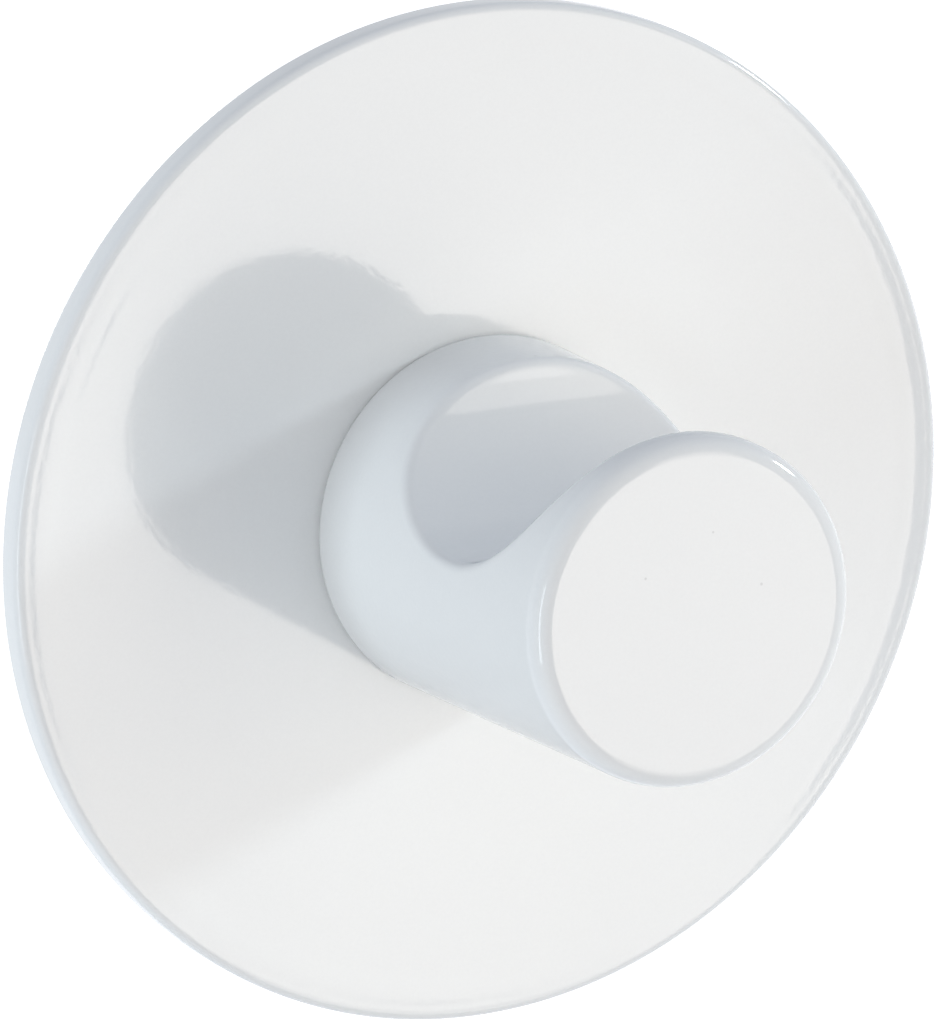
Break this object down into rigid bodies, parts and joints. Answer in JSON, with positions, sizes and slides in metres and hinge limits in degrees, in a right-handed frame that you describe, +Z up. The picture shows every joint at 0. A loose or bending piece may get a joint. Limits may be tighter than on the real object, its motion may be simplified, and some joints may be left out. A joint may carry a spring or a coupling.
{
  "type": "towel hook",
  "caption": "Stick-on wall hook: round lacquered plate with a short round peg whose top is cut as a saddle that holds a towel's loop.",
  "frame": {"origin": "centre of the pad's back, on the wall", "axes": "+Y into the wall, the hook standing out along -Y; +Z up, with the peg's saddle open upwards; +X to the right for someone facing the wall"},
  "size_m": [0.075, 0.0348, 0.075],
  "materials": {
    "plate_lacquer": "smooth white gloss lacquer on steel, with a faint orange peel",
    "peg_lacquer": "smooth white gloss lacquer on a zinc casting",
    "screw_steel": "bright zinc plating",
    "pad_foam": "white closed-cell foam with a tacky film on both faces"
  },
  "bodies": {
    "root": {"wall_plate": "plate_lacquer", "hook_peg": "peg_lacquer", "fixing_screw": "screw_steel", "adhesive_pad": "pad_foam"}
  },
  "joints": []
}
